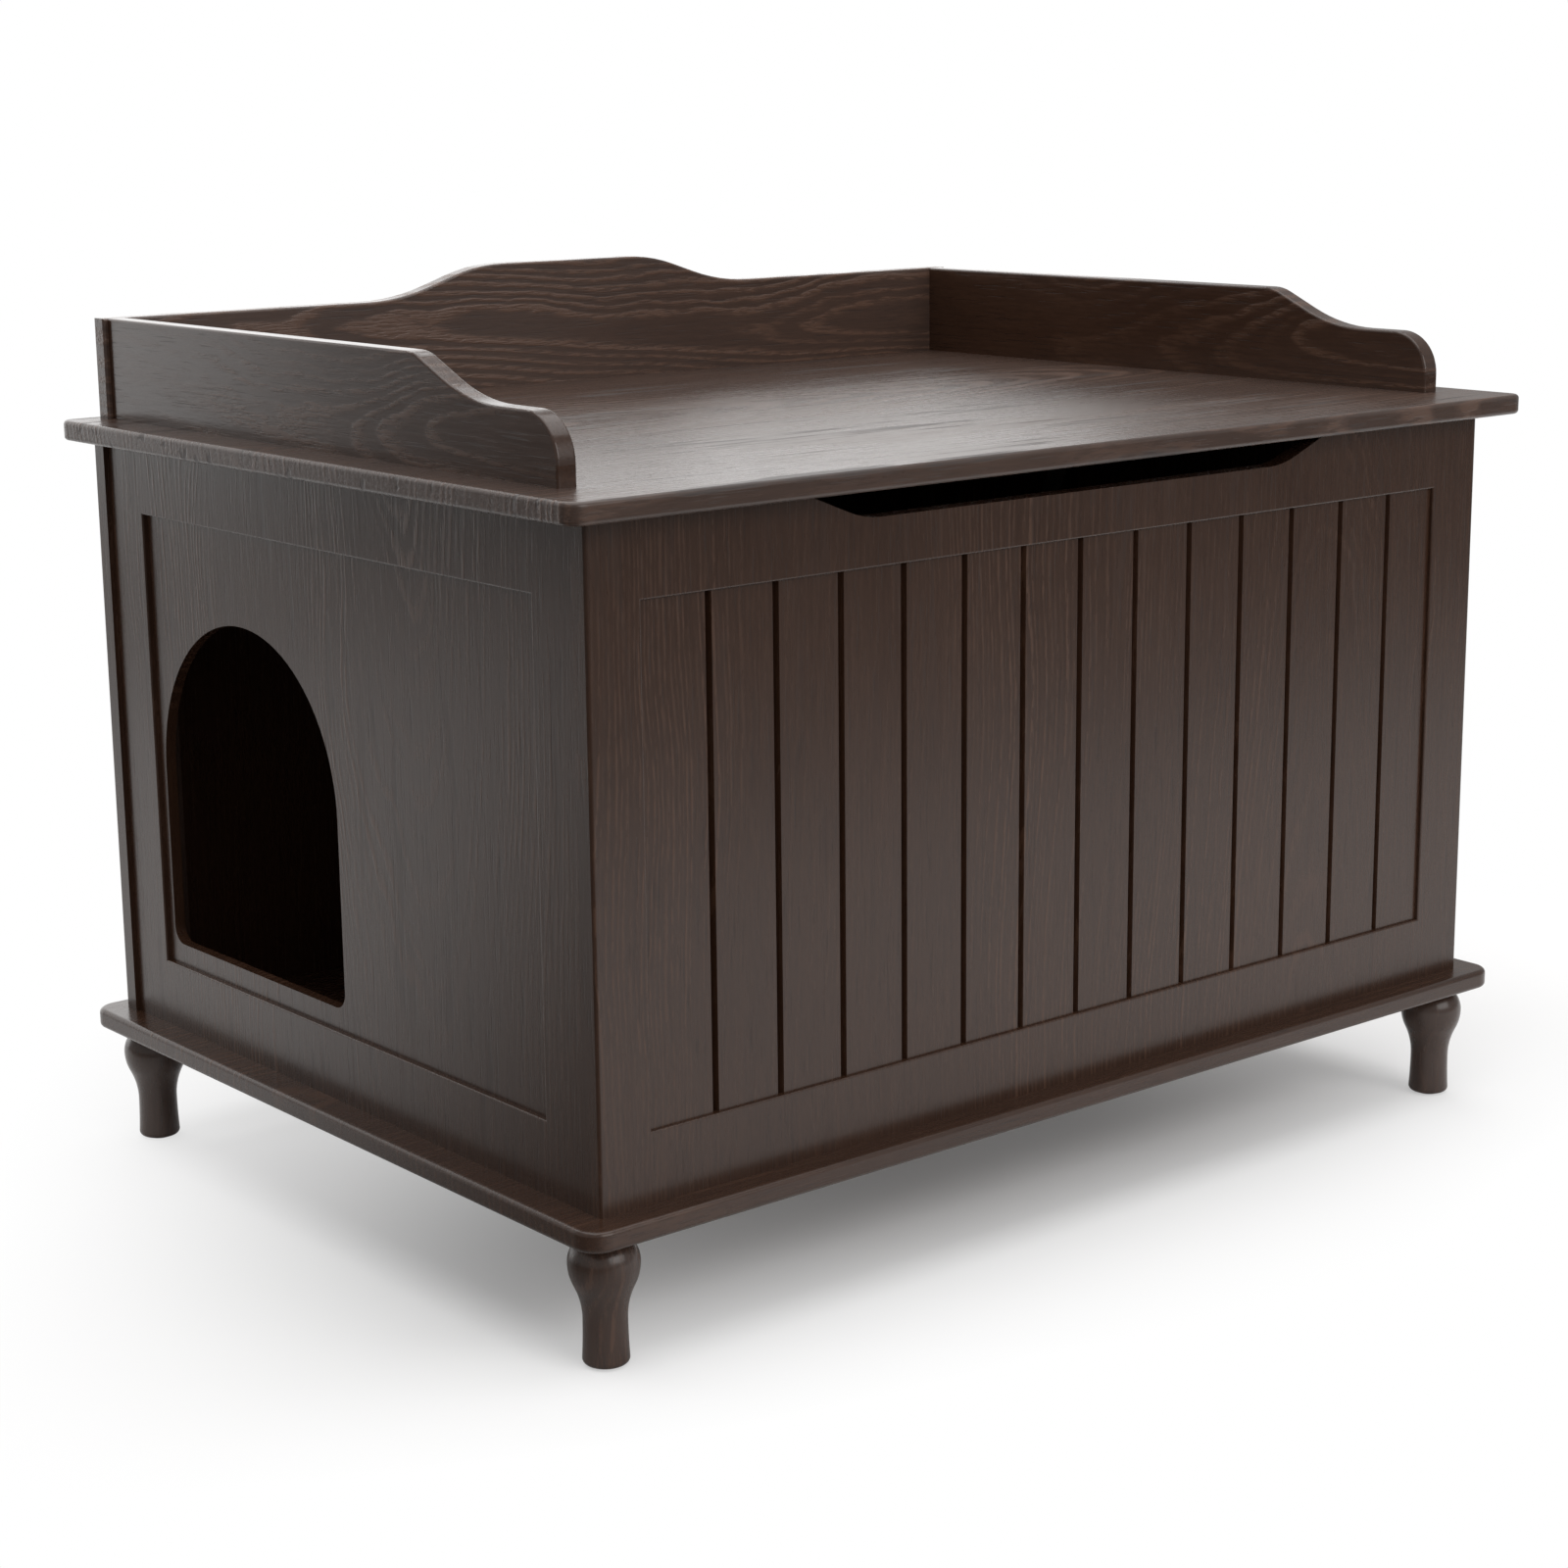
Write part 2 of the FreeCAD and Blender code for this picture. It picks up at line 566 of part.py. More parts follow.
def back_rail():
    """Low at the ends, with an ogee up to a level crest in the middle."""
    body = new_body("back_rail")
    outline = new_sketch(body, "XZ_Plane", "back_rail_outline")
    half = side_face - S.gallery_inset + S.back_proud
    low, rise = S.gallery_height, S.crest_height - S.gallery_height
    brow, sweep, slope = S.crest_brow, S.crest_sweep, S.crest_slope
    shoulder = S.crest_flat / 2 + ogee_run(rise, brow, sweep, slope)
    run = Outline(outline, -half, 0).line(half, 0).line(half, low).line(shoulder, low)
    run.ogee(-1, rise, sweep, brow, slope).line(-S.crest_flat / 2, S.crest_height)
    run.ogee(-1, -rise, brow, sweep, slope).line(-half, low).close()
    board = pad(body, outline, S.board)
    soften(body, board, S.gallery_round, lambda middle, box: box.YLength < 0.01 and middle.z > 1)
    spots = [(x, -S.board / 2) for x, y in BACK_RAIL_SCREWS]
    drill(body, "XY_Plane", "back_rail_holes", 0, spots, PILOT, S.rail_screw - S.board, reverse=True)
    return place(body, 0, case_back, lid_top)


def wing(label, inner_face):
    """Side rail: high behind, an ogee down to a low front and a round nose."""
    body = new_body(label)
    outline = new_sketch(body, "YZ_Plane", label + "_outline")
    high, low, nose = S.gallery_height, S.wing_low, S.wing_nose
    run = Outline(outline, 0, 0).line(0, high).line(-S.wing_high, high)
    run.ogee(-1, low - high, S.wing_brow, S.wing_sweep, S.wing_slope)
    run.line(nose - S.wing_length, low).arc(-S.wing_length, low - nose, nose, 1)
    run.line(-S.wing_length, 0).close()
    board = pad(body, outline, S.board)
    soften(body, board, S.gallery_round,
           lambda middle, box: box.XLength < 0.01 and middle.z > 1 and middle.y < -1)
    shift = case_back - S.board
    spots = [(S.board / 2, y - shift) for x, y in WING_SCREWS if float(x) > 0]
    drill(body, "XY_Plane", label + "_holes", 0, spots, PILOT, S.rail_screw - S.board, reverse=True)
    return place(body, inner_face, shift, lid_top)


# ---------------------------------------------------------------- the hinges


def hinge_leaf(label, own, side):
    """One leaf. Its axis is the body's X axis; the plate hangs below it, towards -Z. own gives
    the stations of the barrel that are this leaf's knuckles, 0 for the even and 1 for the odd."""
    body = new_body(label)
    half, reach, knuckle = S.hinge_length / 2, S.leaf_reach, S.knuckle_radius
    inner = reach - S.leaf
    section = new_sketch(body, "YZ_Plane", label + "_section", -half)
    run = Outline(section, -reach, -S.leaf_width).line(-reach, -S.leaf).line(-knuckle, 0)
    run.arc(-inner, -root(knuckle * knuckle - inner * inner), knuckle, -1, major=True)
    run.line(-inner, -S.leaf_width).close()
    pad(body, section, S.hinge_length)
    bore = new_sketch(body, "YZ_Plane", label + "_bore")
    circle(bore, 0, 0, S.pin_radius + S.play)
    pocket(body, bore, both=True)
    notches = new_sketch(body, "XZ_Plane", label + "_notches")
    station = S.hinge_length / S.knuckles
    for index in range(SIZES["knuckles"]):
        if index % 2 != own:
            start = -half + station * index - S.knuckle_gap / 2
            rectangle(notches, start, -S.notch, start + station + S.knuckle_gap, S.notch)
    pocket(body, notches, both=True)
    spots = [(x, -LEAF_SCREW_ROW) for x in LEAF_SCREW_SPOTS]
    countersink(body, "XZ_Plane", label + "_holes", inner, spots, SMALL_PILOT, S.small_head, reverse=True)
    turn = -90 if own else 0
    return place(body, side * S.hinge_place, hinge_y, hinge_z, V(1, 0, 0), turn)


def hinges():
    for name, side in (("left", -1), ("right", 1)):
        hinge_leaf("%s_hinge_fixed_leaf" % name, 0, side)
        hinge_leaf("%s_hinge_lid_leaf" % name, 1, side)
        body = new_body("%s_hinge_pin" % name)
        half = new_sketch(body, "XZ_Plane", name + "_pin_half")
        end = S.hinge_length / 2
        cap = end + S.pin_head_length
        run = Outline(half, -cap, 0).line(cap, 0).line(cap, S.pin_head).line(end, S.pin_head)
        run.line(end, S.pin_radius).line(-end, S.pin_radius).line(-end, S.pin_head)
        run.line(-cap, S.pin_head).close()
        turned = body.newObject("PartDesign::Revolution", name + "_pin_turned")
        turned.Profile = (half, [""])
        turned.ReferenceAxis = (half, ["H_Axis"])
        turned.Angle = 360
        place(body, side * S.hinge_place, hinge_y, hinge_z)


# ---------------------------------------------------------------- the lid stay

# The arm's pivot on the lid and the stud on the side panel are equally far from the hinge axis, so
# the arm turns half as far as the lid, and the stud slides straight along the arm's slot.


def stay_point(angle):
    """A point at the stay's reach from the hinge axis, below the level to the front by an angle."""
    return hinge_y - S.stay_reach * cosine(angle), hinge_z - S.stay_reach * sine(angle)


def stay_plate_screws():
    y, z = stay_point(S.stay_dip + S.stay_rest)
    return [(y - 14, z), (y + 14, z)]


def bracket_screws():
    y, z = stay_point(S.stay_dip)
    x = bracket_face() - S.bracket_width + 6
    return [(x, y - 10), (x, y + 10)]


def arm_inner():
    """The arm's face towards the middle of the cabinet."""
    return S.arm_place - S.arm


def bracket_face():
    return arm_inner() - S.arm_clear


def stay_plate():
    body = new_body("stay_wall_plate")
    outline = new_sketch(body, "YZ_Plane", "stay_plate_outline")
    rounded_rectangle(outline, as_dim(-21), as_dim(-9), as_dim(21), as_dim(9), as_dim(4))
    pad(body, outline, S.leaf)
    drill(body, "YZ_Plane", "stay_plate_bore", 0, [(0, 0)], S.stud_radius, reverse=True)
    spots = [(as_dim(-14), as_dim(0)), (as_dim(14), as_dim(0))]
    countersink(body, "YZ_Plane", "stay_plate_holes", 0, spots, SMALL_PILOT, S.small_head, reverse=True)
    y, z = stay_point(S.stay_dip + S.stay_rest)
    return place(body, side_inner - S.leaf, y, z)


def stay_stud():
    """Riveted into the wall plate: a shoulder, the journal that runs in the slot, and a head."""
    body = new_body("stay_stud")
    half = new_sketch(body, "XZ_Plane", "stay_stud_half")
    plate = side_inner - S.leaf - S.arm_place
    shoulder, head = S.arm_clear, -S.arm - S.arm_clear
    run = Outline(half, plate + S.leaf, 0).line(plate + S.leaf, S.stud_radius).line(plate, S.stud_radius)
    run.line(plate, S.shoulder).line(shoulder, S.shoulder).line(shoulder, S.stud_radius)
    run.line(head, S.stud_radius).line(head, S.stud_head).line(head - S.stud_head_length, S.stud_head)
    run.line(head - S.stud_head_length, 0).close()
    turned = body.newObject("PartDesign::Revolution", "stay_stud_turned")
    turned.Profile = (half, [""])
    turned.ReferenceAxis = (half, ["H_Axis"])
    turned.Angle = 360
    y, z = stay_point(S.stay_dip + S.stay_rest)
    return place(body, S.arm_place, y, z)


def stay_arm():
    """Flat steel arm. Its slot lets the stud slide from the closed to the open distance."""
    body = new_body("stay_arm")
    closed = 2 * S.stay_reach * sine(S.stay_rest / 2)
    opened = 2 * S.stay_reach * sine((S.stay_rest + S.lid_open) / 2)
    wide, slot = S.arm_half, S.stud_radius + S.slot_play
    outline = new_sketch(body, "YZ_Plane", "arm_outline")
    run = Outline(outline, 0, -wide).line(opened, -wide).arc(opened, wide, wide, 1)
    run.line(0, wide).arc(0, -wide, wide, 1).close()
    pad(body, outline, S.arm)
    groove = new_sketch(body, "YZ_Plane", "arm_slot")
    run = Outline(groove, closed, -slot).line(opened, -slot).arc(opened, slot, slot, 1)
    run.line(closed, slot).arc(closed, -slot, slot, 1).close()
    pocket(body, groove, reverse=True)
    drill(body, "YZ_Plane", "arm_pivot", 0, [(0, 0)], S.rivet_radius + S.play, reverse=True)
    y, z = stay_point(S.stay_dip)
    return place(body, arm_inner(), y, z, V(1, 0, 0), S.stay_dip + S.stay_rest / 2 - 90)


def stay_bracket():
    """Angle on the underside of the lid: a flange with two screws and a lug for the arm."""
    body = new_body("stay_lid_bracket")
    y, z = stay_point(S.stay_dip)
    drop, half = lid_level - z, S.bracket_length / 2
    lug = new_sketch(body, "YZ_Plane", "bracket_lug", -S.leaf)
    round_end = S.arm_half
    run = Outline(lug, half, 0).line(-half, 0).line(-half, -S.leaf).line(-round_end, -drop)
    run.arc(round_end, -drop, round_end, 1).line(half, -S.leaf).close()
    pad(body, lug, S.leaf)
    flange = new_sketch(body, "XY_Plane", "bracket_flange", -S.leaf)
    rectangle(flange, -S.bracket_width, -half, 0, half)
    pad(body, flange, S.leaf)
    drill(body, "YZ_Plane", "bracket_bore", 0, [(0, -drop)], S.rivet_radius)
    spots = [(x - bracket_face(), at - y) for x, at in bracket_screws()]
    countersink(body, "XY_Plane", "bracket_holes", -S.leaf, spots, SMALL_PILOT, S.small_head, reverse=True)
    return place(body, bracket_face(), y, lid_level)


def stay_rivet():
    body = new_body("stay_pivot_rivet")
    half = new_sketch(body, "XZ_Plane", "rivet_half")
    lug = S.leaf + S.arm_clear
    head, neck = S.stud_head - 1, S.rivet_radius
    run = Outline(half, -lug - S.leaf, 0).line(-lug - S.leaf, head).line(-lug, head).line(-lug, neck)
    run.line(S.arm + 0.1, neck).line(S.arm + 0.1, head).line(S.arm + 1.3, head).line(S.arm + 1.3, 0).close()
    turned = body.newObject("PartDesign::Revolution", "rivet_turned")
    turned.Profile = (half, [""])
    turned.ReferenceAxis = (half, ["H_Axis"])
    turned.Angle = 360
    y, z = stay_point(S.stay_dip)
    return place(body, arm_inner(), y, z)


# ---------------------------------------------------------------- fasteners, in groups


def turned_solid(points):
    """A solid of revolution about Z from points given as radius and height."""
    corners = [V(float(r), 0, float(z)) for r, z in points]
    face = Part.Face(Part.makePolygon(corners + corners[:1]))
    return face.revolve(V(0, 0, 0), V(0, 0, 1), 360)


def cross_recess(screw, top, head):
    """A driver's cross sunk into the top of a screw's head, sized from the head's radius."""
    reach, width, depth = float(head) * 1.1, float(head) * 0.24, float(head) * 0.3
    for along, across in ((reach, width), (width, reach)):
        corner = V(-along / 2, -across / 2, top - depth)
        screw = screw.cut(Part.makeBox(along, across, depth, corner))
    return screw.Solids[0]


def flat_head_screw(radius, head, length):
    """Head up at z = 0, with a 90 degree seat; the point is cut square."""
    cone = head - radius
    tip = radius / 2
    screw = turned_solid([(0, 0), (head, 0), (radius, -cone), (radius, tip - length), (tip, -length),
                          (0, -length)])
    return cross_recess(screw, 0, head)


def pan_head_screw(radius, head, length):
    tip = radius / 2
    screw = turned_solid([(0, 2), (head - 1, 2), (head, 1), (head, 0), (radius, 0),
                          (radius, tip - length), (tip, -length), (0, -length)])
    return cross_recess(screw, 2, head)


def group(label, solid, spots):
    """Copies of one solid as a node; a spot is x, y, z and the way its head points."""
    copies = []
    for x, y, z, way in spots:
        copy = solid.copy()
        turn = FreeCAD.Rotation(V(0, 0, 1), V(*way))
        copy.Placement = FreeCAD.Placement(V(float(x), float(y), float(z)), turn)
        copies.append(copy)
    piece = doc.addObject("Part::Feature", label)
    piece.Label = label
    piece.Shape = Part.makeCompound(copies)
    piece.Placement = FreeCAD.Placement()
    nodes.append(piece)
    return piece


def fasteners():
    down, up, left, right, forth, back = (0, 0, -1), (0, 0, 1), (-1, 0, 0), (1, 0, 0), (0, -1, 0), (0, 1, 0)
    base = flat_head_screw(S.screw_radius, S.screw_head, S.long_screw)
    group("base_screws", base, [(x, y, base_level, down) for x, y in BASE_SCREWS])
    rail = flat_head_screw(S.screw_radius, S.screw_head, S.rail_screw)
    group("rail_screws", rail, [(x, y, lid_level, down) for x, y in BACK_RAIL_SCREWS + WING_SCREWS])
    spots = []
    for side, end in LEG_SPOTS.values():
        x = side * (side_inner - CLEAT_CENTRE)
        y = case_front + S.board + CLEAT_CENTRE if end < 0 else case_back - S.board - CLEAT_CENTRE
        spots += [(x, y - end * CLEAT_CENTRE, case_level + z, (0, -end, 0)) for z in CLEAT_LEVELS_Y]
        spots += [(x - side * CLEAT_CENTRE, y, case_level + z, (-side, 0, 0)) for z in CLEAT_LEVELS_X]
    group("cleat_screws", pan_head_screw(S.screw_radius, S.screw_head, S.cleat_screw), spots)
    small = flat_head_screw(S.small_radius, S.small_head, S.hinge_screw)
    columns = [sign * S.hinge_place + x for sign in (-1, 1) for x in LEAF_SCREW_SPOTS]
    face = case_back + S.leaf
    group("hinge_case_screws", small, [(x, face, hinge_z - LEAF_SCREW_ROW, back) for x in columns])
    under = lid_level - S.leaf
    group("hinge_lid_screws", small, [(x, hinge_y - LEAF_SCREW_ROW, under, down) for x in columns])
    stay = flat_head_screw(S.small_radius, S.small_head, S.stay_screw)
    group("stay_wall_screws", stay, [(side_inner - S.leaf, y, z, left) for y, z in stay_plate_screws()])
    group("stay_lid_screws", small, [(x, y, under, down) for x, y in bracket_screws()])
    bore = S.bolt_radius
    bolt = turned_solid([(0, 0), (bore, 0), (bore, S.bolt_in_leg + S.insert_length - 1),
                         (0, S.bolt_in_leg + S.insert_length - 1)])
    spots = [leg_centre(*spot) for spot in LEG_SPOTS.values()]
    group("leg_hanger_bolts", bolt, [(x, y, base_level - S.bolt_in_leg, up) for x, y in spots])
    wall = bore + S.play
    insert = turned_solid([(wall, 0), (S.insert_radius, 0), (S.insert_radius, S.insert_length),
                           (wall, S.insert_length)])
    group("leg_inserts", insert, [(x, y, base_level, up) for x, y in spots])
    disc, spike = S.glide_radius, S.spike_radius
    glide = turned_solid([(0, 0), (disc - 0.4, 0), (disc, 0.4), (disc, S.glide_proud),
                          (spike, S.glide_proud), (spike, S.spike_length), (0, S.spike_length)])
    group("floor_glides", glide, [(x, y, 0, up) for x, y in spots])
    disc = S.bumper_radius
    bumper = turned_solid([(0, 0), (disc, 0), (disc, S.bumper_height - 0.5),
                           (disc - 0.5, S.bumper_height), (0, S.bumper_height)])
    pads = [(sign * 322, front_line, case_top, up) for sign in (-1, 1)]
    pads += [(sign * side_line, 150, case_top, up) for sign in (-1, 1)]
    group("lid_bumpers", bumper, pads)


# ---------------------------------------------------------------- build, check and write

base_board()
front_panel()
back_panel()
left_side_panel()
right_side_panel()
cleats()
legs()
lid_board()
back_rail()
wing("right_rail", side_face - S.gallery_inset - S.board)
wing("left_rail", S.gallery_inset - side_face)
hinges()
stay_plate()
stay_stud()
stay_arm()
stay_bracket()
stay_rivet()
fasteners()
doc.recompute()

for item in doc.Objects:
    if {"Invalid", "Error"} & set(item.State):
        raise RuntimeError("%s failed: %s" % (item.Label, item.State))
for node in nodes:
    if node.Shape.isNull() or not node.Shape.isValid():
        raise RuntimeError("%s has no sound shape" % node.Label)

os.makedirs("parts", exist_ok=True)
for node in nodes:
    node.Shape.exportStep("parts/%s.step" % node.Label)
    box = node.Shape.BoundBox
    print("%-24s %d solid  %8.1f cm3  x %7.1f %7.1f  y %7.1f %7.1f  z %6.1f %6.1f" % (
        node.Label, len(node.Shape.Solids), node.Shape.Volume / 1000,
        box.XMin, box.XMax, box.YMin, box.YMax, box.ZMin, box.ZMax))
print("%d nodes" % len(nodes))
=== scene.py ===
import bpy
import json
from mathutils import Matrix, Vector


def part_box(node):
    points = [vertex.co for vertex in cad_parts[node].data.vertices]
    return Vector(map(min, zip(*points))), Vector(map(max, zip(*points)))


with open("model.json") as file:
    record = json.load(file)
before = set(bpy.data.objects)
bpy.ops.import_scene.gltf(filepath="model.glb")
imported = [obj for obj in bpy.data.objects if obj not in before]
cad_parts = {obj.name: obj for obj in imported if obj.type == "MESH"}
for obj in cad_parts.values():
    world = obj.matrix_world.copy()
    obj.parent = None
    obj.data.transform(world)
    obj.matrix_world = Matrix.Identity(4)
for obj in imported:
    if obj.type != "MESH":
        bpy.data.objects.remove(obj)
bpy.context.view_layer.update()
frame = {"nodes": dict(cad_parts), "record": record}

# %% [markdown]
# # A cat litter box cabinet
# The construction is already fixed: boards, panels, turned legs, hinges and a lid stay, each piece in
# its own node. This lesson gives the pieces their finish, then lights and frames them as in the photo.
# Sizes are in metres. +X is the cabinet's right, -Y its front and +Z is up.

# %% Set-up
import json
import math

import bpy
from mathutils import Matrix, Vector

NODES = frame["nodes"]

# %% [markdown]
# ## Node graphs in plain arithmetic
# A material is a graph of small steps. Wrapping each socket in a class lets the steps be written as
# ordinary sums: `a * 2 + b` makes the two Math nodes that it needs.

# %% Sockets that add and multiply
class Value:
    """A socket of a shader graph. Arithmetic with numbers or other values makes Math nodes."""

    def __init__(self, graph, socket):
        self.graph, self.socket = graph, socket

    def _math(self, kind, *terms, clamp=False):
        return self.graph.add("ShaderNodeMath", {"operation": kind, "use_clamp": clamp}, terms)

    def __add__(self, other):
        return self._math("ADD", self, other)

    def __sub__(self, other):
        return self._math("SUBTRACT", self, other)

    def __mul__(self, other):
        return self._math("MULTIPLY", self, other)

    def __truediv__(self, other):
        return self._math("DIVIDE", self, other)

    def __radd__(self, other):
        return self._math("ADD", other, self)

    def __rsub__(self, other):
        return self._math("SUBTRACT", other, self)

    def __rmul__(self, other):
        return self._math("MULTIPLY", other, self)

    def __rtruediv__(self, other):
        return self._math("DIVIDE", other, self)

    def __neg__(self):
        return self * -1

    def power(self, exponent):
        return self._math("POWER", self, exponent)

    def root(self):
        return self._math("SQRT", self)

    def part(self):
        return self._math("FRACT", self)

    def clamp(self):
        return self._math("ADD", self, 0.0, clamp=True)

    def between(self, low, high):
        """0 below low, 1 above high, with a soft step between them."""
        return self.graph.add("ShaderNodeMapRange", {"interpolation_type": "SMOOTHSTEP"},
                              {"Value": self, "From Min": low, "From Max": high})


class Graph:
    """The node graph of one material."""

    def __init__(self, name):
        self.material = bpy.data.materials.new(name)
        self.material.use_nodes = True
        self.tree = self.material.node_tree
        self.tree.nodes.clear()

    def add(self, kind, settings=None, inputs=None, out=0):
        """One node of any kind: its settings, and its inputs by place or by name."""
        node = self.tree.nodes.new(kind)
        for name, value in (settings or {}).items():
            setattr(node, name, value)
        inputs = inputs or {}
        pairs = inputs.items() if isinstance(inputs, dict) else enumerate(inputs)
        for name, value in pairs:
            if isinstance(value, Value):
                self.tree.links.new(value.socket, node.inputs[name])
            else:
                node.inputs[name].default_value = value
        return Value(self, node.outputs[out] if node.outputs else None)

    def place(self):
        """X, Y and Z of the shaded point in metres, as three values."""
        spot = self.add("ShaderNodeTexCoord", out="Object")
        parts = self.add("ShaderNodeSeparateXYZ", inputs={"Vector": spot})
        return [Value(self, socket) for socket in parts.socket.node.outputs]

    def vector(self, x, y, z):
        return self.add("ShaderNodeCombineXYZ", inputs=(x, y, z))

    def noise(self, at, scale=1.0, detail=2.0, rough=0.5, warp=0.0):
        return self.add("ShaderNodeTexNoise", {"normalize": True}, {
            "Vector": at, "Scale": scale, "Detail": detail, "Roughness": rough, "Distortion": warp})

    def blend(self, low, high, share):
        """A colour between two others."""
        node = self.add("ShaderNodeMix", {"data_type": "RGBA", "clamp_factor": True}, out=2)
        inner = node.socket.node
        for index, value in ((0, share), (6, low), (7, high)):
            if isinstance(value, Value):
                self.tree.links.new(value.socket, inner.inputs[index])
            else:
                inner.inputs[index].default_value = value if index == 0 else (*value, 1.0)
        return node

    def bump(self, height, distance, strength=1.0, over=None):
        inputs = {"Height": height, "Distance": distance, "Strength": strength}
        if over:
            inputs["Normal"] = over
        return self.add("ShaderNodeBump", inputs=inputs)

    def finish(self, **inputs):
        """A Principled surface, with underscores standing for spaces in its inputs' names."""
        named = {name.replace("_", " "): value for name, value in inputs.items()}
        surface = self.add("ShaderNodeBsdfPrincipled", inputs=named)
        self.add("ShaderNodeOutputMaterial", inputs={"Surface": surface})
        return self.material


# %% [markdown]
# ## Growth rings
# The boards are cut flat from a trunk, so the growth rings show as long arches. The shader does the
# same: it measures the distance from the trunk's heart, which lies just outside the board and leans a
# little against it, and draws a ring every few millimetres. Good and bad years make the rings uneven,
# in width and in strength.

# %% Rings round the trunk's heart
def growth_rings(graph, a, b, c, heart, depth, lean, start, pitch, seed):
    """How strongly a ring shows at each point; a runs along the grain and b across the board."""
    sway = graph.noise(graph.vector(a * 2.2 + seed, b * 5.0, c * 5.0 + seed), 1.0, 2.0, 0.45) - 0.5
    ripple = graph.noise(graph.vector(a * 9.0 - seed, b * 22.0, c * 22.0), 1.0, 3.0, 0.55) - 0.5
    side = b - heart + sway * 0.085 + ripple * 0.010
    deep = depth + (a - start) * lean + sway * 0.05 + ripple * 0.012
    years = (side * side + deep * deep).root() / pitch
    rings = years + graph.noise(graph.vector(years * 0.35, seed, 0.0), 1.0, 1.0, 0.5) * 1.5
    wave = rings.part()
    year = rings - wave
    vigour = graph.noise(graph.vector(year * 0.73 + seed, seed, 0.0), 1.0, 1.0, 0.5)
    band = wave.between(0.30, 0.74) * (1.0 - wave.between(0.80, 1.0))
    return band * (vigour.between(0.36, 0.62) * 0.85 + 0.15)


# %% [markdown]
# ## Dark stained wood
# Fibres, grit, pores and sunken veins run along the grain. Each adds a little to the tone, to the
# roughness and to the relief. A thin lacquer over the stain gives the sheen, and lets the grain show
# mostly in relief.

# %% The wood
def wood(name, along, across, heart=0.0, depth=0.06, lean=0.16, start=0.0, pitch=0.0052, seed=0.0,
         gloss=0.26, stain_and_sheen=1.0, painted_reflection_grey=0.0, figure=0.55, steady=0.10, veins=0.15, tooth=0.45):
    """along and across are axes 0 to 2: the grain's way and the board's width.
    heart is where the trunk's heart crosses the width, and depth how far it lies behind the face.
    figure is how strong the rings are in patches, and steady how strong they are everywhere.
    The grey added to both colours is a painted reflection of the pale surroundings, and veins are sunken
    dark streaks.
    tooth is how strongly the grain stands out under the lacquer."""
    graph = Graph(name)
    spot = graph.place()
    a, b, c = spot[along], spot[across], spot[3 - along - across]
    shown = graph.noise(graph.vector(a * 2.6, b * 6.5 + seed, c * 6.5), 1.0, 2.0, 0.5)
    grit = graph.noise(graph.vector(a * 75.0 + seed, b * 560.0, c * 560.0), 1.0, 2.0, 0.6)
    late = growth_rings(graph, a, b, c, heart, depth, lean, start, pitch, seed)
    late = late * (shown.between(0.40, 0.60) * figure + steady)
    late = late * (grit.between(0.40, 0.58) * 0.7 + 0.3)
    fibre = graph.noise(graph.vector(a * 13.0, b * 330.0 + seed, c * 330.0), 1.0, 3.0, 0.62)
    pores = graph.noise(graph.vector(a * 34.0, b * 820.0, c * 820.0 + seed), 1.0, 1.0, 0.5)
    pore = pores.between(0.60, 0.74)
    patch = graph.noise(graph.vector(a * 5.0, b * 8.0, c * 8.0 + seed), 1.0, 3.0, 0.6)
    streaks = graph.noise(graph.vector(a * 9.0, b * 95.0 + seed, c * 95.0), 1.0, 3.0, 0.55, 0.3)
    vein = streaks.between(0.56, 0.68) * veins
    # The grey added to both colours below is a painted reflection of the pale surroundings.
    dark = [stain_and_sheen * v + painted_reflection_grey for v in (0.0205, 0.0088, 0.0050)]
    light = [stain_and_sheen * v + painted_reflection_grey for v in (0.0720, 0.0345, 0.0198)]
    tone = late * 1.10 + fibre * 0.34 + grit * 0.34 + patch * 0.36 - 0.19 - pore * 0.20 - vein * 0.45
    rough = gloss + late * 0.10 + (patch - 0.5) * 0.08 + (fibre - 0.5) * 0.06 + pore * 0.06 + vein * 0.16
    relief = late * 0.45 + fibre * 0.26 + grit * 0.16 - pore * 0.16 - vein * 0.45
    return graph.finish(
        Base_Color=graph.blend(dark, light, tone.clamp()), Roughness=rough, IOR=1.5,
        Specular_IOR_Level=0.5, Normal=graph.bump(relief, 0.00030, tooth))


# %% [markdown]
# ## The boards, legs and cleats
# Each board has its own trunk, so no two show the same figure. The lid and the gallery have the
# strongest figure, as in the photo; the legs and cleats are small and plain.

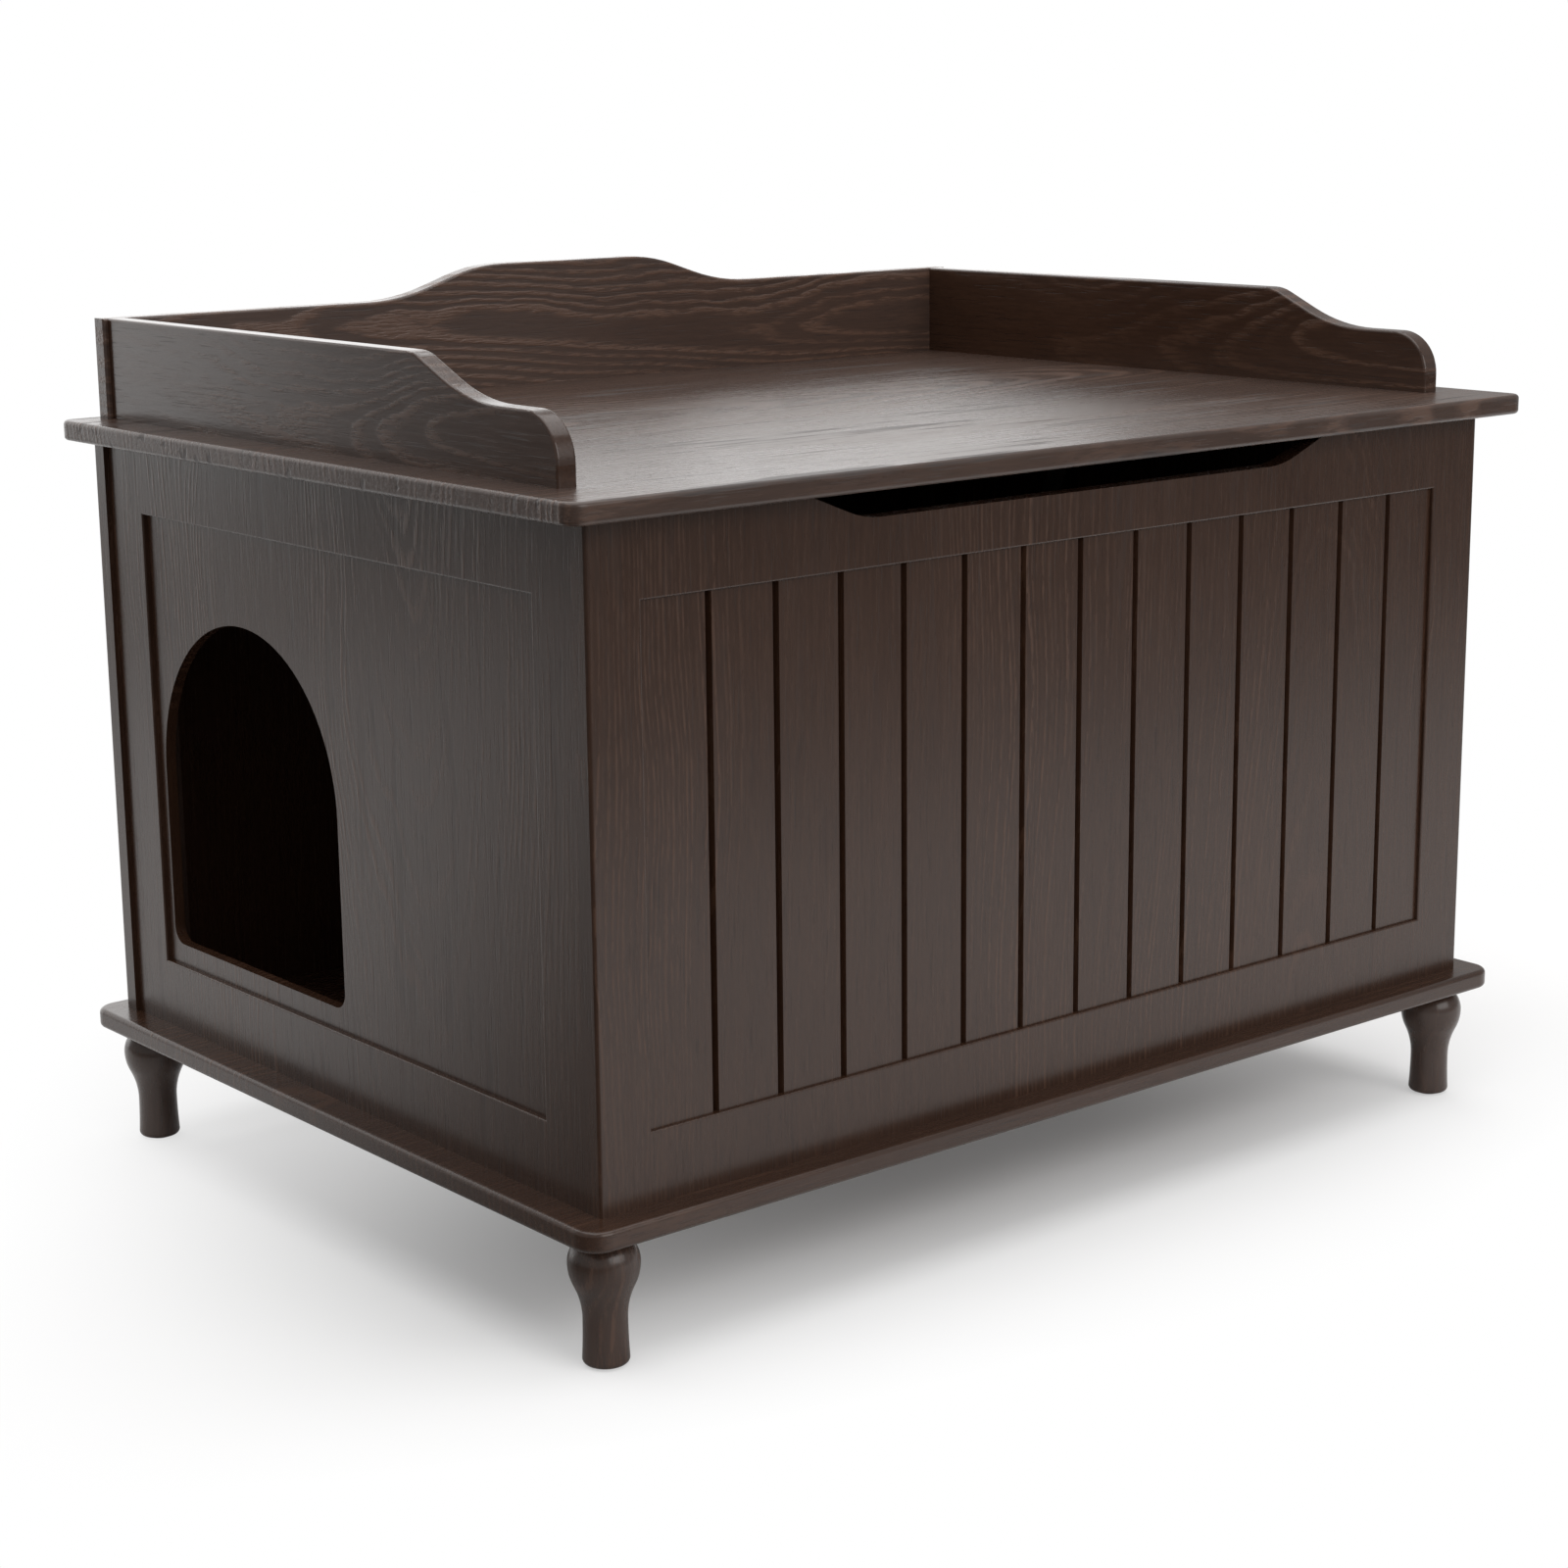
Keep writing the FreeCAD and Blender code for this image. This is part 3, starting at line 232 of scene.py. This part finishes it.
# %% Wood on the pieces
BOARDS = {
    "front_panel": dict(along=2, across=0, heart=0.20, depth=0.030, lean=0.11, start=0.10, seed=3.1,
                        pitch=0.0036, figure=0.50, steady=0.12),
    "left_side_panel": dict(along=2, across=1, heart=-0.09, depth=0.035, lean=-0.13, start=0.45, seed=7.7,
                            pitch=0.0042, figure=0.72, steady=0.12, veins=0.3, tooth=0.55),
    "right_side_panel": dict(along=2, across=1, heart=0.05, depth=0.035, lean=0.12, start=0.09, seed=12.2),
    "back_panel": dict(along=2, across=0, heart=-0.12, depth=0.040, lean=0.12, start=0.09, seed=19.4),
    "base_board": dict(along=0, across=1, heart=0.02, depth=0.050, lean=0.09, start=-0.40, seed=23.8),
    # The grey added to the lid, the back rail and the legs is a painted reflection.
    "lid_board": dict(along=0, across=1, heart=0.03, depth=0.035, lean=0.10, start=-0.30, seed=31.5,
                      gloss=0.27, figure=0.9, steady=0.2, painted_reflection_grey=0.014, veins=1.0, tooth=0.95),
    # The back rail's lighter stain and its added grey together paint a reflection of the pale
    # surroundings.
    "back_rail": dict(along=0, across=2, heart=0.497, depth=0.012, lean=-0.06, start=0.10, seed=37.9,
                      pitch=0.0046, figure=1.5, steady=0.9, painted_reflection_grey=0.018, stain_and_sheen=1.15, gloss=0.20,
                      tooth=0.8),
    "left_rail": dict(along=1, across=2, heart=0.480, depth=0.020, lean=0.07, start=-0.25, seed=41.3,
                      figure=0.45, steady=0.15, gloss=0.20, tooth=0.6),
    "right_rail": dict(along=1, across=2, heart=0.490, depth=0.020, lean=0.06, start=-0.25, seed=47.6,
                       figure=0.9, steady=0.35, gloss=0.20, tooth=0.7),
}
LEGS = ("front_left_leg", "front_right_leg", "rear_left_leg", "rear_right_leg")
CLEATS = ("front_left_cleat", "front_right_cleat", "rear_left_cleat", "rear_right_cleat")


def dress(node, material):
    """Gives all of a node's surfaces one material."""
    for slot in NODES[node].material_slots:
        slot.material = material


for node, plan in BOARDS.items():
    dress(node, wood("wood_" + node, **plan))
for number, node in enumerate(LEGS):
    low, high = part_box(node)
    # The grey added to the legs' colour is a painted reflection of the pale surroundings.
    dress(node, wood("wood_" + node, along=2, across=0, heart=(low.x + high.x) / 2 + 0.05,
                     depth=0.04, lean=0.05, pitch=0.0035, seed=52.0 + 3 * number, gloss=0.24, painted_reflection_grey=0.011))
for number, node in enumerate(CLEATS):
    low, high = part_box(node)
    dress(node, wood("wood_" + node, along=2, across=0, heart=(low.x + high.x) / 2 + 0.06,
                     depth=0.05, lean=0.05, pitch=0.004, seed=70.0 + 3 * number, gloss=0.55))
print("wood on %d nodes" % (len(BOARDS) + len(LEGS) + len(CLEATS)))

# %% [markdown]
# ## Metal, nylon and rubber
# The hinges and the stay are rolled steel sheet with a brushed grain and faint handling marks. Screws
# and bolts are zinc plated: paler, with a soft cloudy variation. The glides are nylon and the bumpers
# are rubber, both matt with a fine texture.

# %% The fittings
def steel(name, colour, rough, brushed):
    """Rolled sheet, brushed along X, with handling marks."""
    graph = Graph(name)
    x, y, z = graph.place()
    lines = graph.noise(graph.vector(x * 60.0, y * 1500.0, z * 1500.0), 1.0, 2.0, 0.5)
    marks = graph.noise(graph.vector(x * 90.0, y * 90.0, z * 90.0), 1.0, 4.0, 0.6)
    wear = marks.between(0.55, 0.75)
    tint = graph.blend([v * 0.82 for v in colour], colour, marks * 0.7 + lines * 0.4)
    return graph.finish(
        Base_Color=tint, Metallic=1.0,
        Roughness=rough + (lines - 0.5) * brushed + wear * 0.10,
        Normal=graph.bump(lines * brushed + marks * 0.3, 0.00008, 0.5))


def moulded(name, colour, rough, grain):
    """Nylon or rubber with a fine texture and a little dust."""
    graph = Graph(name)
    x, y, z = graph.place()
    spots = graph.noise(graph.vector(x * grain, y * grain, z * grain), 1.0, 3.0, 0.6)
    dust = graph.noise(graph.vector(x * 40.0, y * 40.0, z * 40.0), 1.0, 3.0, 0.6)
    tint = graph.blend([v * 0.8 for v in colour], [v * 1.25 for v in colour], dust)
    return graph.finish(
        Base_Color=tint, Roughness=rough + (dust - 0.5) * 0.15,
        Normal=graph.bump(spots, 0.0001, 0.4))


FITTINGS = {
    "hinge_steel": steel("hinge_steel", (0.40, 0.40, 0.41), 0.32, 0.20),
    "zinc_steel": steel("zinc_steel", (0.60, 0.60, 0.57), 0.38, 0.08),
    "nylon": moulded("nylon", (0.060, 0.052, 0.046), 0.55, 900.0),
    "bumper_rubber": moulded("bumper_rubber", (0.022, 0.022, 0.022), 0.75, 700.0),
}
slots = {entry["node"]: entry["material_slot"] for entry in frame["record"]["subparts"]}
for node, slot in slots.items():
    if slot in FITTINGS:
        dress(node, FITTINGS[slot])
print("fittings on %d nodes" % sum(slot in FITTINGS for slot in slots.values()))

# %% [markdown]
# ## The camera
# The position, direction and field of view come from matching the cabinet's corners with the photo's.

# %% Camera at the photo's angle
YAW, PITCH, ROLL = 0.692009, -0.224378, -0.010463
forward = Vector((math.sin(YAW) * math.cos(PITCH), math.cos(YAW) * math.cos(PITCH), math.sin(PITCH)))
level = Vector((math.cos(YAW), -math.sin(YAW), 0.0))
upward = level.cross(forward)
right = math.cos(ROLL) * level + math.sin(ROLL) * upward
top = right.cross(forward)
camera_data = bpy.data.cameras.new("camera")
camera_data.lens, camera_data.sensor_width = 70.547, 36.0
camera_data.clip_start, camera_data.clip_end = 0.05, 60.0
camera = bpy.data.objects.new("camera", camera_data)
camera.matrix_world = Matrix.Translation((-1.21755, -1.45150, 0.65097)) @ Matrix(
    (right, top, -forward)).transposed().to_4x4()
bpy.context.scene.collection.objects.link(camera)
bpy.context.scene.camera = camera
bpy.context.scene.view_settings.view_transform = "Standard"
print("camera looks along", [round(v, 3) for v in forward])

# %% [markdown]
# ## The studio
# For all but the camera's rays the floor is pale only where the panels mirror it, and painted dark
# elsewhere as shade. The camera sees it white: a painted white glow lightens its real soft shadow and
# turns it plain white away from the cabinet. Large soft lamps above, behind and in front light the
# cabinet, a narrow one draws the glints on the edges, and the surroundings are white.

# %% Floor, lamps and surroundings
def studio_floor():
    """A pale floor that keeps the cabinet's shadow, lightened by a painted white glow for the camera."""
    mesh = bpy.data.meshes.new("floor")
    size = 7.0
    mesh.from_pydata([(-size, -size, 0), (size, -size, 0), (size, size, 0), (-size, size, 0)], [],
                     [(0, 1, 2, 3)])
    floor = bpy.data.objects.new("floor", mesh)
    bpy.context.scene.collection.objects.link(floor)
    graph = Graph("floor")
    x, y, z = graph.place()
    away = ((x - 0.1) * (x - 0.1) + (y + 0.1) * (y + 0.1)).root()
    slant = x + (y - 0.5) * 0.90
    beyond = y.between(1.4, 2.2) * (1.0 - slant.between(-0.3, 0.6))
    beside = slant.between(-1.10, -0.55) * (1.0 - beyond)
    before = x.between(-0.60, -0.15) * (1.0 - y.between(-0.30, 0.0))
    sheet = y.between(-1.65, -0.95) * (beside + before).clamp()
    seen = graph.add("ShaderNodeLightPath", out="Is Camera Ray")
    # Outside the pale patch the floor is painted dark for every ray but the camera's: painted shade.
    pale_floor_and_painted_shade = graph.blend((0.11, 0.105, 0.10), (0.86, 0.86, 0.86), (sheet + seen).clamp())
    matt = graph.add("ShaderNodeBsdfDiffuse", inputs={"Color": pale_floor_and_painted_shade})
    white = graph.add("ShaderNodeEmission", inputs={"Color": (1, 1, 1, 1), "Strength": 1.0})
    # Painted glow for the camera: it lifts the shadow front, left, back and right, and far away is plain
    # white.
    painted_glow_lift = (-0.14 - y).between(0.0, 0.28) * 0.95 + (0.0 - x).between(0.0, 0.6) * 0.25
    painted_glow_lift = painted_glow_lift + y.between(-0.15, 0.20) * 0.40 + x.between(0.1, 0.5) * 0.25
    painted_glow_lift = painted_glow_lift + away.between(0.45, 0.95) + 0.05
    painted_glow_share = painted_glow_lift.clamp() * seen
    shown = graph.add("ShaderNodeMixShader", inputs=(painted_glow_share, matt, white))
    graph.add("ShaderNodeOutputMaterial", inputs={"Surface": shown})
    mesh.materials.append(graph.material)


def lamp(name, place, target, width, height, watts, colour=(1.0, 1.0, 1.0)):
    """A rectangular lamp at a place, turned towards a target."""
    data = bpy.data.lights.new(name, "AREA")
    data.shape, data.size, data.size_y = "RECTANGLE", width, height
    data.energy, data.color = watts, colour
    light = bpy.data.objects.new(name, data)
    light.location = place
    light.rotation_euler = (Vector(target) - Vector(place)).to_track_quat("-Z", "Y").to_euler()
    bpy.context.scene.collection.objects.link(light)


def surroundings():
    """White for the camera, and a dimmer, faintly warm white as light."""
    world = bpy.data.worlds.new("studio")
    bpy.context.scene.world = world
    world.use_nodes = True
    tree = world.node_tree
    tree.nodes.clear()
    rays = tree.nodes.new("ShaderNodeLightPath")
    seen = tree.nodes.new("ShaderNodeBackground")
    seen.inputs["Color"].default_value = (1, 1, 1, 1)
    seen.inputs["Strength"].default_value = 1.0
    lit = tree.nodes.new("ShaderNodeBackground")
    lit.inputs["Color"].default_value = (1.0, 0.995, 0.99, 1)
    lit.inputs["Strength"].default_value = 0.46
    mix = tree.nodes.new("ShaderNodeMixShader")
    out = tree.nodes.new("ShaderNodeOutputWorld")
    tree.links.new(rays.outputs["Is Camera Ray"], mix.inputs[0])
    tree.links.new(lit.outputs[0], mix.inputs[1])
    tree.links.new(seen.outputs[0], mix.inputs[2])
    tree.links.new(mix.outputs[0], out.inputs["Surface"])


studio_floor()
surroundings()
lamp("overhead", (-0.1, -0.1, 2.8), (-0.1, -0.1, 0), 3.6, 3.0, 64)
lamp("backdrop", (0.8, 3.6, 1.3), (0.8, 0, 1.3), 6.4, 2.6, 68)
lamp("rim", (0.4, 3.0, 3.3), (0.2, 0.0, 0.5), 4.0, 0.6, 26)
lamp("front", (0.3, -3.3, 1.8), (0, -0.2, 0.3), 3.0, 2.0, 45, (1.0, 0.975, 0.96))
print("floor, four lamps and white surroundings")
